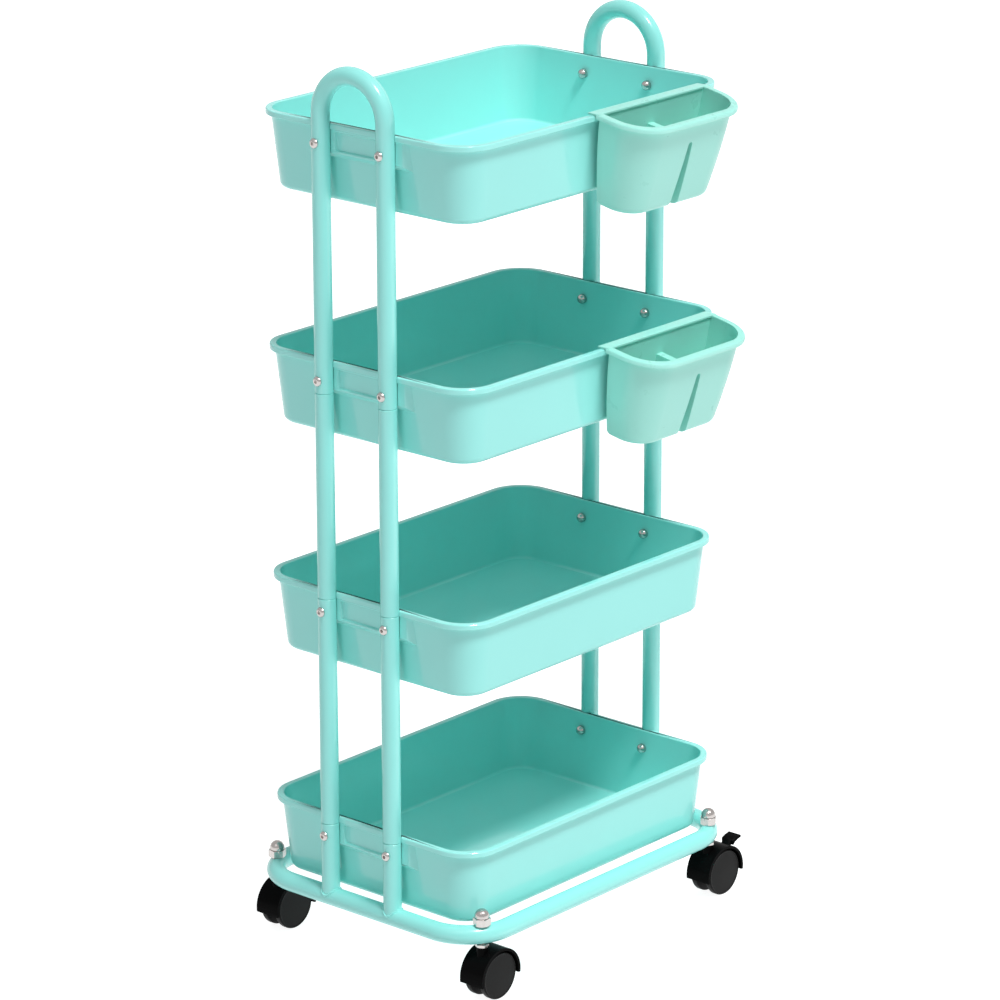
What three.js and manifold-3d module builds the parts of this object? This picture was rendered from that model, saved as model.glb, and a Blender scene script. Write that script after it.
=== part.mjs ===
// Rolling utility cart with four tiers of open bins on a tubular frame.
// Two pairs of posts, each pair joined by a U-bend handle, stand on a rounded ring of tube that rolls
// on four twin-wheel casters. Two small cups hang on the front rims of the upper bins.
// Units are millimetres, +Z is up. X runs along the bins' long side and -Y is the front, with the cups.

import * as THREE from 'three';
import { mergeVertices } from 'three/addons/utils/BufferGeometryUtils.js';
import Module from 'manifold-3d';

const wasm = await Module();
wasm.setup();

// ---- driving dimensions -------------------------------------------------------------------------

const GAP = 0.3;                    // clearance between pieces that touch
const OVERRUN = 1;                  // how far a joined or cut shape runs past the face that it meets
const RING_R = 10;                  // outer radius of the base ring's tube
const RING_BORE = 8.8;
const POST_R = 9.6;                 // outer radius of the post tubes
const POST_BORE = 8.4;
const SWAGE_R = 8;                  // reduced end that plugs into the next tube
const SWAGE_BORE = 6.9;
const SWAGE_LENGTH = 28;
const SHOULDER = 2;                 // solid step between a tube's bore and its reduced end's bore
const POST_X = 209.6;               // post centres
const POST_Y = 43.2;

const BOLT_Z = [877.0, 631.7, 386.4, 141.1];     // one bolt height for each tier, top to bottom
const TIERS = ['top', 'second', 'third', 'bottom'];
const SEAM_Z = [618.1, 400.0, 154.3];            // where the post segments meet
const BEND_Z = 906.0;               // height of the handle bend's centre
const BEND_STEPS = 10;

const RING = { x: POST_X, y: 151.5, corner: 52, z: 72 };
const CASTER_ANGLE = 58.3;          // where on the ring's corner bend each caster sits, degrees

const BIN = {
  rimAboveBolt: 19.3, height: 82.1, wall: 2.3,
  rim: { x: 205.7, y: 145.3, corner: 40 },       // half-sizes over the rolled rim
  top: { x: 200.7, y: 140.3, corner: 35 },       // half-sizes of the wall at the top
  base: { x: 192.3, y: 132.0, corner: 28.7 },    // half-sizes of the wall at the bottom
  rimHeight: 6.2, rimRound: 1.2, fillet: 5.5,
};
const BRACKET = {                   // pad on each end wall that takes the two posts
  halfWidth: 61, flare: 8, top: 1, depth: 30, chin: 6, plane: 205.2, back: 196.5, notch: 60,
  recessHalfWidth: 28, recessTop: 9.5, recessBottom: 27, recessDepth: 3, bevel: 3,
};

const BOLT = {
  head: 5.2, headHeight: 2.7, crown: 3.1, crownHeight: 2.3, shank: 2.9, hole: 3.3,
  nut: 5.2, nutLength: 6.4, nutStraight: 3.2, nutX: 195.5,
};

const CUP = {
  centres: [75.5, 92.5], tilt: 11, backY: -149.8, aboveRim: 2.1, height: 100, wall: 2,
  mouth: { width: 160, front: 54, corner: 35, back: 0 },
  base: { width: 137, front: 43, corner: 26, back: 6 },
  bulge: 1.5, rimWidth: 8.3, rimHeight: 6, rimRound: 1, fillet: 7,
  bandBack: 13.8, bandThickness: 1.7, lip: 1.6, lipTop: 0.4, lipDepth: 11, lipHalfWidth: 72,
  dividerTop: -25, dividerHalfTop: 3.6, dividerHalfBase: 7.5, grooveHalfTop: 2, grooveDepth: 36,
};

const WHEEL = { r: 25, inner: 6.5, outer: 13.6, bore: 3.3, floor: 1.4, edge: 1.5, dome: 0.4 };
const AXLE_R = 3;
const TRAIL = 12.7;                 // wheel axle behind the swivel axis
const HOOD = {
  outer: 30, inner: 27, halfWidth: 15.2, web: 5.5, front: 189, rear: -8, hub: 8,
  neck: 6, neckTop: 58.4, socket: 4.3, socketFloor: 41, socketWall: 1.5,
};
const WEB_REAR = 1;                 // where the hood's web starts, degrees
const STEM = { r: 4, collar: 7.3, collarHeight: 3, bottom: 41.6, above: 9, hole: 4.4 };
const CAP_NUT = { hex: 9.4, hexHeight: 8, dome: 7.6, height: 17.5, bore: 4.4, boreDepth: 11 };
const LEVER = {                     // x and z are its pivot, from the wheel axle
  x: 12.5, z: 16, barrel: 3.4, socket: 3.8, neck: 5.1, blade: 8, bladeFrom: 21.5, bladeTo: 43,
  mouth: [[3.3, -1.2], [18.5, 4.5], [16, 17], [3, 14], [-2.6, 3]],      // opening in the hood, from the pivot
  profile: [                        // side view of the lever, from the pivot
    [-2, 2.4], [5, 8.7], [9, 12.6], [14.5, 14.7], [21.5, 16], [22.3, 13.8],
    [16.5, 12.4], [12, 10.6], [9, 7.8], [2.4, -2]],
};

const BOLT_FACE_X = POST_X + POST_R + GAP;       // under each screw's head

const ENDS = [['left', -1], ['right', 1]];
const SIDES = [['front', -1], ['rear', 1]];
const BRAKED = ['right_front', 'right_rear'];

// ---- colours ------------------------------------------------------------------------------------

const FINISH = {
  tube: { color: 0x8fe0d5, roughness: 0.35, metalness: 0.1 },
  bin: { color: 0x97ece0, roughness: 0.4, metalness: 0 },
  cup: { color: 0xa8ecdb, roughness: 0.5, metalness: 0 },
  steel: { color: 0xc9c4c1, roughness: 0.2, metalness: 1 },
  hood: { color: 0x111111, roughness: 0.45, metalness: 0 },
  wheel: { color: 0x303030, roughness: 0.6, metalness: 0 },
};

// ---- solids -------------------------------------------------------------------------------------

const radians = THREE.MathUtils.degToRad;

function signedVolume(points, faces) {
  let six = 0;
  for (const [a, b, c] of faces) {
    six += points[a].dot(new THREE.Vector3().crossVectors(points[b], points[c]));
  }
  return six / 6;
}

// Solid from points and triangles, turned so that its faces point out.
function solidFrom(points, faces) {
  const outward = signedVolume(points, faces) > 0 ? faces : faces.map(([a, b, c]) => [a, c, b]);
  const geometry = new THREE.BufferGeometry();
  geometry.setAttribute('position', new THREE.Float32BufferAttribute(
    points.flatMap((p) => [p.x, p.y, p.z]), 3));
  geometry.setIndex(outward.flat());
  return solidOf(geometry);
}

// Solid of any closed three.js geometry.
function solidOf(geometry) {
  const bare = geometry.clone();
  bare.deleteAttribute('normal');
  bare.deleteAttribute('uv');
  const merged = mergeVertices(bare, 1e-4);
  return new wasm.Manifold(new wasm.Mesh({
    numProp: 3,
    vertProperties: new Float32Array(merged.attributes.position.array),
    triVerts: new Uint32Array(merged.index.array),
  }));
}

function geometryOf(solid) {
  const { vertProperties, triVerts, numProp } = solid.getMesh();
  const geometry = new THREE.BufferGeometry();
  const xyz = new Float32Array((vertProperties.length / numProp) * 3);
  for (let i = 0; i < xyz.length / 3; i += 1) {
    xyz.set(vertProperties.subarray(i * numProp, i * numProp + 3), i * 3);
  }
  geometry.setAttribute('position', new THREE.BufferAttribute(xyz, 3));
  geometry.setIndex(new THREE.BufferAttribute(new Uint32Array(triVerts), 1));
  geometry.computeVertexNormals();
  return geometry;
}

// Skin over rings of equal point count. Open lofts get a fan cap at each end.
function loft(rings, closed = false) {
  const n = rings[0].length;
  const points = rings.flat();
  const faces = [];
  const last = closed ? rings.length : rings.length - 1;
  for (let r = 0; r < last; r += 1) {
    const here = r * n;
    const next = ((r + 1) % rings.length) * n;
    for (let i = 0; i < n; i += 1) {
      const j = (i + 1) % n;
      faces.push([here + i, here + j, next + j], [here + i, next + j, next + i]);
    }
  }
  if (!closed) {
    for (const [ring, flip] of [[0, true], [rings.length - 1, false]]) {
      const centre = new THREE.Vector3();
      rings[ring].forEach((p) => centre.addScaledVector(p, 1 / n));
      const hub = points.push(centre) - 1;
      for (let i = 0; i < n; i += 1) {
        const j = (i + 1) % n;
        faces.push(flip ? [hub, ring * n + j, ring * n + i] : [hub, ring * n + i, ring * n + j]);
      }
    }
  }
  return solidFrom(points, faces);
}

// Outline of a rounded rectangle, half-sizes x and y, at height z.
function roundedRing({ x, y, corner }, z, steps = 5) {
  const ring = [];
  [[1, 1, 0], [-1, 1, 90], [-1, -1, 180], [1, -1, 270]].forEach(([sx, sy, start]) => {
    for (let i = 0; i <= steps; i += 1) {
      const t = radians(start + (90 * i) / steps);
      const dx = corner * Math.cos(t);
      const dy = corner * Math.sin(t);
      ring.push(new THREE.Vector3(sx * (x - corner) + dx, sy * (y - corner) + dy, z));
    }
  });
  return ring;
}

function grown({ x, y, corner }, by) {
  return { x: x + by, y: y + by, corner: corner + by };
}

function mixed(a, b, t) {
  const out = {};
  for (const key of Object.keys(a)) {
    out[key] = THREE.MathUtils.lerp(a[key], b[key], t);
  }
  return out;
}

// Round tube or rod of radius r that follows centre points, with one section square to the path
// at each point. The side vector is square to the plane that the path lies in.
function sweep(path, r, side, sections = 12, closed = false) {
  const rings = path.map((point, i) => {
    const before = path[closed ? (i + path.length - 1) % path.length : Math.max(i - 1, 0)];
    const after = path[closed ? (i + 1) % path.length : Math.min(i + 1, path.length - 1)];
    const along = new THREE.Vector3().subVectors(after, before).normalize();
    const up = new THREE.Vector3().crossVectors(along, side).normalize();
    return Array.from({ length: sections }, (_, k) => {
      const t = (2 * Math.PI * k) / sections;
      return point.clone().addScaledVector(side, r * Math.cos(t)).addScaledVector(up, r * Math.sin(t));
    });
  });
  return loft(rings, closed);
}

// Cylinder between two heights on a vertical axis.
function upright(x, y, bottom, top, r, sections = 12) {
  const geometry = new THREE.CylinderGeometry(r, r, top - bottom, sections);
  geometry.rotateX(Math.PI / 2).translate(x, y, (bottom + top) / 2);
  return solidOf(geometry);
}

// Cylinder along X or Y through a point, from one coordinate to another on that axis.
function crossbar(axis, from, to, at, r, sections = 10) {
  const geometry = new THREE.CylinderGeometry(r, r, to - from, sections);
  if (axis === 'x') {
    geometry.rotateZ(-Math.PI / 2).translate((from + to) / 2, at.y, at.z);
  } else {
    geometry.translate(at.x, (from + to) / 2, at.z);
  }
  return solidOf(geometry);
}

function block(lo, hi) {
  const geometry = new THREE.BoxGeometry(hi[0] - lo[0], hi[1] - lo[1], hi[2] - lo[2]);
  geometry.translate((lo[0] + hi[0]) / 2, (lo[1] + hi[1]) / 2, (lo[2] + hi[2]) / 2);
  return solidOf(geometry);
}

// Solid of revolution about +Z from [radius, height] pairs that start and end on the axis.
function turned(profile, sections) {
  const geometry = new THREE.LatheGeometry(profile.map(([r, z]) => new THREE.Vector2(r, z)), sections);
  geometry.rotateX(Math.PI / 2);
  const xyz = geometry.attributes.position;
  const points = Array.from({ length: xyz.count }, (_, i) => new THREE.Vector3().fromBufferAttribute(xyz, i));
  const faces = Array.from({ length: geometry.index.count / 3 }, (_, i) => (
    [0, 1, 2].map((corner) => geometry.index.getX(3 * i + corner))));
  return solidFrom(points, faces);
}

// Prism of a shape drawn in X and Z, from y = -half to y = half.
function slab(shape, half) {
  const geometry = new THREE.ExtrudeGeometry(shape, { depth: 2 * half, bevelEnabled: false });
  geometry.rotateX(Math.PI / 2).translate(0, half, 0);
  return solidOf(geometry);
}

function shapeOf(points) {
  return new THREE.Shape(points.map(([x, z]) => new THREE.Vector2(x, z)));
}

// ---- the cart's group ---------------------------------------------------------------------------

const cart = new THREE.Group();

function add(name, solid, finish, placing = () => {}) {
  const mesh = new THREE.Mesh(geometryOf(solid), new THREE.MeshStandardMaterial({ ...finish }));
  mesh.name = name;
  placing(mesh);
  cart.add(mesh);
}

// ---- frame --------------------------------------------------------------------------------------

function casterPlaces() {
  const t = radians(CASTER_ANGLE);
  const x = RING.x - RING.corner + RING.corner * Math.cos(t);
  const y = RING.y - RING.corner + RING.corner * Math.sin(t);
  return ENDS.flatMap(([end, sx]) => SIDES.map(([side, sy]) => (
    { name: `${end}_${side}`, x: sx * x, y: sy * y })));
}

function postPlaces() {
  return ENDS.flatMap(([end, sx]) => SIDES.map(([side, sy]) => (
    { name: `${end}_${side}`, sx, x: sx * POST_X, y: sy * POST_Y })));
}

// Screw hole across a post, or across a bin's end wall beside it.
function boltHole({ x, y }, z) {
  return crossbar('x', x - 2 * POST_R, x + 2 * POST_R, { y, z }, BOLT.hole, 8);
}

// Ring of tube with the four lowest post stubs welded to its end runs, all one piece. The stem
// holes at the corners open the bore to the outside.
function baseFrame() {
  const path = roundedRing(RING, RING.z);
  const axis = new THREE.Vector3(0, 0, 1);
  let solid = sweep(path, RING_R, axis, 12, true);
  let bore = sweep(path, RING_BORE, axis, 8, true);
  for (const post of postPlaces()) {
    solid = solid.add(upright(post.x, post.y, RING.z, SEAM_Z[2], POST_R));
    bore = bore.add(upright(post.x, post.y, RING.z, SEAM_Z[2] + OVERRUN, POST_BORE));
    bore = bore.add(boltHole(post, BOLT_Z[3]));
  }
  for (const { x, y } of casterPlaces()) {
    bore = bore.add(upright(x, y, RING.z - 2 * RING_R, RING.z + 2 * RING_R, STEM.hole, 8));
  }
  return solid.subtract(bore);
}

// Straight post segment between two seams. Its reduced lower end plugs into the tube below.
function postSegment(post, seamBelow, seamAbove, boltZ) {
  const { x, y } = post;
  const boreFrom = seamBelow + SHOULDER;
  const shell = upright(x, y, seamBelow + GAP, seamAbove, POST_R);
  const swage = upright(x, y, seamBelow - SWAGE_LENGTH, boreFrom, SWAGE_R);
  const bore = upright(x, y, boreFrom, seamAbove + OVERRUN, POST_BORE);
  const throat = upright(x, y, seamBelow - SWAGE_LENGTH - OVERRUN, boreFrom + OVERRUN, SWAGE_BORE);
  let solid = shell.add(swage).subtract(bore).subtract(throat);
  for (const z of boltZ) {
    solid = solid.subtract(boltHole(post, z));
  }
  return solid;
}

// U-bend handle with its two legs, whose reduced ends plug into the middle posts.
function handle(sx) {
  const x = sx * POST_X;
  const axis = new THREE.Vector3(1, 0, 0);
  const bend = Array.from({ length: BEND_STEPS + 1 }, (_, i) => {
    const t = radians(180 - (180 * i) / BEND_STEPS);
    return new THREE.Vector3(x, POST_Y * Math.cos(t), BEND_Z + POST_Y * Math.sin(t));
  });
  const seam = SEAM_Z[0];
  const boreFrom = seam + SHOULDER;
  const swageFrom = seam - SWAGE_LENGTH;
  const legsFrom = (z) => [
    new THREE.Vector3(x, -POST_Y, z), ...bend, new THREE.Vector3(x, POST_Y, z)];
  let solid = sweep(legsFrom(seam + GAP), POST_R, axis);
  let bore = sweep(legsFrom(boreFrom), POST_BORE, axis, 8);
  for (const [, sy] of SIDES) {
    const y = sy * POST_Y;
    solid = solid.add(upright(x, y, swageFrom, boreFrom + OVERRUN, SWAGE_R));
    bore = bore.add(upright(x, y, swageFrom - OVERRUN, boreFrom + 2 * OVERRUN, SWAGE_BORE));
    bore = bore.add(boltHole({ x, y }, BOLT_Z[0])).add(boltHole({ x, y }, BOLT_Z[1]));
  }
  return solid.subtract(bore);
}

// ---- bins ---------------------------------------------------------------------------------------

// Wall outline at a depth below the rim top, before the bottom edge is rounded.
function binWall(depth) {
  return mixed(BIN.top, BIN.base, depth / BIN.height);
}

// Rings that round a bottom edge: a quarter circle from the floor out to the wall, bottom first.
function filletRings(outlineAt, bottom, radius, makeRing) {
  return [0, 30, 60, 90].map((t) => {
    const rise = radius * (1 - Math.cos(radians(t)));
    const inset = radius * (1 - Math.sin(radians(t)));
    return makeRing(outlineAt(bottom + rise), -inset, bottom + rise);
  });
}

// Rectangle facing along X at x, from y = -half to y = half and z = low to z = high.
function endFace(x, half, low, high) {
  return [[half, high], [-half, high], [-half, low], [half, low]].map(([y, z]) => new THREE.Vector3(x, y, z));
}

// Pad on one end wall, flared down to the wall at its ends and its lower edge, with a shallow recess
// that has bevelled sides between the posts.
function bracketPad(sx) {
  const { halfWidth, flare, depth, chin, plane, back } = BRACKET;
  const { recessHalfWidth, recessTop, recessBottom, recessDepth, bevel } = BRACKET;
  const pad = loft([
    endFace(sx * back, halfWidth + flare, -depth - chin, -BRACKET.top),
    endFace(sx * plane, halfWidth, -depth, -BRACKET.top)]);
  const recess = loft([
    endFace(sx * (plane - recessDepth), recessHalfWidth, -recessBottom, -recessTop),
    endFace(sx * (plane + recessDepth), recessHalfWidth + bevel, -recessBottom - bevel, -recessTop + bevel)]);
  return pad.subtract(recess);
}

// Open bin with its rim top at z = 0: tapered walls, rolled rim, rounded bottom edge, a pad on each
// end wall, and grooves where the posts pass.
function bin() {
  const bottom = -BIN.height;
  const outlineAt = (z) => binWall(-z);
  const ring = (outline, by, z) => roundedRing(grown(outline, by), z);
  let solid = loft([
    ...filletRings(outlineAt, bottom, BIN.fillet, ring),
    ring(binWall(BIN.rimHeight), 0, -BIN.rimHeight),
    ring(BIN.rim, 0, -BIN.rimHeight),
    ring(BIN.rim, 0, -BIN.rimRound),
    ring(BIN.rim, -BIN.rimRound, 0),
  ]);
  for (const [, sx] of ENDS) {
    solid = solid.add(bracketPad(sx));
  }
  const innerFloor = bottom + BIN.wall;
  const innerFillet = BIN.fillet - BIN.wall;
  const innerRing = (outline, by, z) => roundedRing(grown(outline, by - BIN.wall), z);
  solid = solid.subtract(loft([
    ...filletRings(outlineAt, innerFloor, innerFillet, innerRing),
    innerRing(BIN.top, 0, 0),
    innerRing(BIN.top, 0, OVERRUN),
  ]));
  for (const { x, y, sx } of postPlaces()) {
    solid = solid.subtract(upright(x, y, -BRACKET.notch, OVERRUN, POST_R + GAP));
    solid = solid.subtract(boltHole({ x: x - sx * POST_R, y }, -BIN.rimAboveBolt));
  }
  return solid;
}

// Button-head screw and the dome nut on its end, drawn from the outside in along X.
function binBolt() {
  const nutBase = BOLT_FACE_X - BOLT.nutX;
  return turned([
    [0, -BOLT.headHeight], [BOLT.crown, -BOLT.crownHeight], [BOLT.head, 0],
    [BOLT.shank, 0], [BOLT.shank, nutBase], [BOLT.nut, nutBase],
    [BOLT.nut, nutBase + BOLT.nutStraight], [0, nutBase + BOLT.nutLength],
  ], 8);
}

// ---- cups ---------------------------------------------------------------------------------------

// The cup is drawn level: x across, y = -(distance forward of the mouth's back edge), z = 0 at the rim.
function cupRing({ width, front, corner, back }, z, by = 0, backBy = by) {
  const half = width / 2 + by;
  const r = corner + by;
  const far = front + by;
  const near = back - backBy;
  const steps = 6;
  const ring = [new THREE.Vector3(half, -near, z), new THREE.Vector3(-half, -near, z)];
  [[-1, 180], [1, 270]].forEach(([sx, start]) => {
    for (let i = 0; i <= steps; i += 1) {
      const t = radians(start + (90 * i) / steps);
      ring.push(new THREE.Vector3(sx * (half - r) + r * Math.cos(t), -(far - r) + r * Math.sin(t), z));
    }
  });
  return ring;
}

// Outline of the cup's cavity at a height below the rim. The walls bulge, then draw in to the base.
function cupOutline(z) {
  return mixed(CUP.mouth, CUP.base, (-z / CUP.height) ** CUP.bulge);
}

// Wedge across the cup, narrow at its top, that parts the lower half in two.
function wedge(halfTop, halfBase, top, bottom, backY, frontY) {
  const section = (y) => [
    new THREE.Vector3(-halfTop, y, top), new THREE.Vector3(halfTop, y, top),
    new THREE.Vector3(halfBase, y, bottom), new THREE.Vector3(-halfBase, y, bottom)];
  return loft([section(backY), section(frontY)]);
}

// Cup with a thick rim at the front and ends, a level band behind that lies over the bin's rim, a lip
// that hooks down inside the bin, and a grooved divider in its lower half.
function cup() {
  const { wall, height, fillet } = CUP;
  const outer = (outline, by, z) => cupRing(outline, z, by + wall);
  const inner = (outline, by, z) => cupRing(outline, z, by);
  const middle = -height / 2;
  const body = loft([
    ...filletRings(cupOutline, -height, fillet, outer),
    outer(cupOutline(middle), 0, middle),
    outer(CUP.mouth, 0, -CUP.rimRound)]);
  const cavity = loft([
    ...filletRings(cupOutline, wall - height, fillet - wall, inner),
    inner(cupOutline(middle), 0, middle),
    inner(CUP.mouth, 0, 0),
    inner(CUP.mouth, 0, OVERRUN)]);
  const rim = loft([
    cupRing(CUP.mouth, -CUP.rimHeight, CUP.rimWidth, wall),
    cupRing(CUP.mouth, -CUP.rimRound, CUP.rimWidth, wall),
    cupRing(CUP.mouth, 0, CUP.rimWidth - CUP.rimRound, wall)]);
  const halfBand = CUP.mouth.width / 2 + CUP.rimWidth - CUP.rimRound;
  const band = block([-halfBand, -OVERRUN, -CUP.bandThickness], [halfBand, CUP.bandBack, 0])
    .rotate([-CUP.tilt, 0, 0]);
  const bandDrop = CUP.bandBack * Math.sin(radians(CUP.tilt));
  const lipBack = CUP.bandBack * Math.cos(radians(CUP.tilt));
  const lip = block(
    [-CUP.lipHalfWidth, lipBack - CUP.lip, -CUP.lipDepth - bandDrop],
    [CUP.lipHalfWidth, lipBack, -bandDrop - CUP.lipTop]);
  const { front } = CUP.mouth;
  const divider = wedge(
    CUP.dividerHalfTop, CUP.dividerHalfBase, CUP.dividerTop, OVERRUN - height, 0, -front).intersect(body);
  const groove = wedge(
    CUP.grooveHalfTop, CUP.dividerHalfBase - wall, CUP.dividerTop - wall, -height - OVERRUN,
    -front - 2 * wall, CUP.grooveDepth - front);
  return body.add(rim).subtract(cavity).add(band).add(lip).add(divider).subtract(groove);
}

// ---- casters ------------------------------------------------------------------------------------

// Points on an arc about the wheel axle, in X and Z.
function arc(r, from, to, steps) {
  return Array.from({ length: steps + 1 }, (_, i) => {
    const t = radians(from + ((to - from) * i) / steps);
    return [r * Math.cos(t), r * Math.sin(t)];
  });
}

// Hood around the twin wheels: a curved cover, a centre web with the axle hole, and the swivel neck.
// Drawn about the wheel axle, with the swivel axis at x = -TRAIL.
function casterHood(braked) {
  const { outer, inner, halfWidth, web, front, rear, hub, neck, neckTop, socket, socketFloor } = HOOD;
  const cover = slab(shapeOf([...arc(outer, rear, front, 12), ...arc(inner, front, rear, 12)]), halfWidth);
  const core = slab(shapeOf([
    ...arc(inner + OVERRUN, WEB_REAR, front - 4, 12), ...arc(hub, 200, 340, 4)]), web);
  const floor = socketFloor - WHEEL.r;
  const top = neckTop - WHEEL.r;
  let solid = cover.add(core).add(upright(-TRAIL, 0, floor - HOOD.socketWall, top, neck));
  solid = solid.subtract(upright(-TRAIL, 0, floor, top + OVERRUN, socket, 10));
  solid = solid.subtract(crossbar('y', -web - OVERRUN, web + OVERRUN, { x: 0, z: 0 }, AXLE_R + GAP));
  if (braked) {
    const mouth = shapeOf(LEVER.mouth.map(([x, z]) => [LEVER.x + x, LEVER.z + z]));
    solid = solid.subtract(slab(mouth, web + GAP));
    solid = solid.subtract(
      crossbar('y', -web - OVERRUN, web + OVERRUN, { x: LEVER.x, z: LEVER.z }, LEVER.socket, 12));
  }
  return solid;
}

// Wheel with a closed outer disc and a blind bore from the inner face.
function casterWheel() {
  const { r, inner, outer, bore, floor, edge, dome } = WHEEL;
  return turned([
    [0, outer], [r - 2 * edge, outer - dome], [r, outer - edge], [r, inner], [bore, inner],
    [bore, outer - floor], [0, outer - floor]], 24);
}

function casterAxle() {
  const half = WHEEL.outer - WHEEL.floor - GAP;
  return crossbar('y', -half, half, { x: 0, z: 0 }, AXLE_R, 8);
}

// Threaded stem with its jam nut, from the hood's socket up through the ring into the cap nut.
function casterStem() {
  const ringBottom = RING.z - RING_R;
  const collarTop = ringBottom - GAP;
  const top = RING.z + RING_R + STEM.above;
  const shank = upright(0, 0, STEM.bottom, top, STEM.r, 10);
  return shank.add(upright(0, 0, collarTop - STEM.collarHeight, collarTop, STEM.collar, 6));
}

// Hexagon nut with a domed cap.
function capNut() {
  const { hex, hexHeight, dome, height, bore, boreDepth } = CAP_NUT;
  const shoulder = arc(dome, 0, 90, 3).map(([r, z]) => [r, height - dome + z]);
  const round = turned([[0, OVERRUN], [dome, OVERRUN], ...shoulder.slice(0, -1), [0, height]], 12);
  const hole = upright(0, 0, -OVERRUN, boreDepth, bore, 10);
  return upright(0, 0, 0, hexHeight, hex, 6).add(round).subtract(hole);
}

// Foot lever: a barrel in the web's socket, a neck through the hood, and an upturned blade.
function brakeLever() {
  const { x, z, barrel, neck, blade, bladeFrom, bladeTo } = LEVER;
  const profile = shapeOf(LEVER.profile.map(([px, pz]) => [x + px, z + pz]));
  const wide = slab(profile, blade).intersect(block(
    [bladeFrom, -blade - OVERRUN, 0], [bladeTo, blade + OVERRUN, bladeTo]));
  return slab(profile, neck).add(wide).add(crossbar('y', -neck, neck, { x, z }, barrel, 12));
}

// ---- assembly -----------------------------------------------------------------------------------

add('base_frame', baseFrame(), FINISH.tube);
for (const post of postPlaces()) {
  const lower = postSegment(post, SEAM_Z[2], SEAM_Z[1], [BOLT_Z[2], BOLT_Z[3]]);
  const middle = postSegment(post, SEAM_Z[1], SEAM_Z[0], [BOLT_Z[2]]);
  add(`lower_post_${post.name}`, lower, FINISH.tube);
  add(`middle_post_${post.name}`, middle, FINISH.tube);
}
for (const [end, sx] of ENDS) {
  add(`handle_${end}`, handle(sx), FINISH.tube);
}

const binSolid = bin();
const boltSolid = binBolt();
TIERS.forEach((tier, i) => {
  add(`bin_${tier}`, binSolid, FINISH.bin, (mesh) => {
    mesh.position.z = BOLT_Z[i] + BIN.rimAboveBolt;
  });
  for (const post of postPlaces()) {
    add(`bin_bolt_${tier}_${post.name}`, boltSolid, FINISH.steel, (mesh) => {
      mesh.position.set(post.sx * BOLT_FACE_X, post.y, BOLT_Z[i]);
      mesh.rotation.y = -post.sx * (Math.PI / 2);
    });
  }
});

const cupSolid = cup();
CUP.centres.forEach((x, i) => {
  add(`cup_${TIERS[i]}`, cupSolid, FINISH.cup, (mesh) => {
    mesh.position.set(x, CUP.backY, BOLT_Z[i] + BIN.rimAboveBolt + CUP.aboveRim);
    mesh.rotation.x = radians(CUP.tilt);
  });
});

const wheelSolid = casterWheel();
for (const place of casterPlaces()) {
  const braked = BRAKED.includes(place.name);
  const atAxle = (mesh) => mesh.position.set(place.x + TRAIL, place.y, WHEEL.r);
  add(`cap_nut_${place.name}`, capNut(), FINISH.steel, (mesh) => {
    mesh.position.set(place.x, place.y, RING.z + RING_R + GAP);
  });
  add(`stem_${place.name}`, casterStem(), FINISH.steel, (mesh) => {
    mesh.position.set(place.x, place.y, 0);
  });
  add(`caster_hood_${place.name}`, casterHood(braked), FINISH.hood, atAxle);
  add(`caster_axle_${place.name}`, casterAxle(), FINISH.steel, atAxle);
  for (const [side, sy] of SIDES) {
    add(`wheel_${side}_${place.name}`, wheelSolid, FINISH.wheel, (mesh) => {
      atAxle(mesh);
      mesh.rotation.x = -sy * (Math.PI / 2);
    });
  }
  if (braked) {
    add(`brake_lever_${place.name}`, brakeLever(), FINISH.hood, atAxle);
  }
}

// The origin is the middle of the cart's footprint, on the floor.
const bounds = new THREE.Box3().setFromObject(cart, true);
cart.position.set(
  -(bounds.min.x + bounds.max.x) / 2, -(bounds.min.y + bounds.max.y) / 2, -bounds.min.z);

export default cart;
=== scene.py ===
"""Looks for the rolling utility cart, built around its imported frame.

Shapes are drawn in millimetres about the point on the floor under the middle of the four posts,
and moved into the frame, in metres, as each piece is made. X runs along the cart, from its left end
to its right, and Y from front to rear.
"""

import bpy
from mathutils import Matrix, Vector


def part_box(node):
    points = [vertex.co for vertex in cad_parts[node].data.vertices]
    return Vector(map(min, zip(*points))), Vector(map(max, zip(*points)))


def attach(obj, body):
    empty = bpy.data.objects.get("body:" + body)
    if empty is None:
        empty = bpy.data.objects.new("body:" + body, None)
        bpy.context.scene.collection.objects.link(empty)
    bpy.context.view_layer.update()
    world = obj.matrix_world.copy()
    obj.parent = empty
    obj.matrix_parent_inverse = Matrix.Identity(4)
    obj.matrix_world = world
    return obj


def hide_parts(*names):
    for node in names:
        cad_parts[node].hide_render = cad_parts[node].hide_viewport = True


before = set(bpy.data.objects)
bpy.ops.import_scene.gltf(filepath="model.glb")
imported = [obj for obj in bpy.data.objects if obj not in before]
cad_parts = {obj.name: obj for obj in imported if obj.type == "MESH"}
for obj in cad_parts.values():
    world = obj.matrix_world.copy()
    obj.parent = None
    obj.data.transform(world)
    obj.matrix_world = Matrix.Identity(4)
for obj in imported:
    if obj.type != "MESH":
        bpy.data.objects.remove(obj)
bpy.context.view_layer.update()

import math

import bmesh
import bpy
from mathutils import Matrix, Vector

MM = 0.001
base_lo, base_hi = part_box("base_frame")
MIDDLE = Vector(((base_lo.x + base_hi.x) / 2, (base_lo.y + base_hi.y) / 2, 0))

# ---- dimensions, in millimetres ------------------------------------------------------------------

GAP = 0.3

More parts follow.
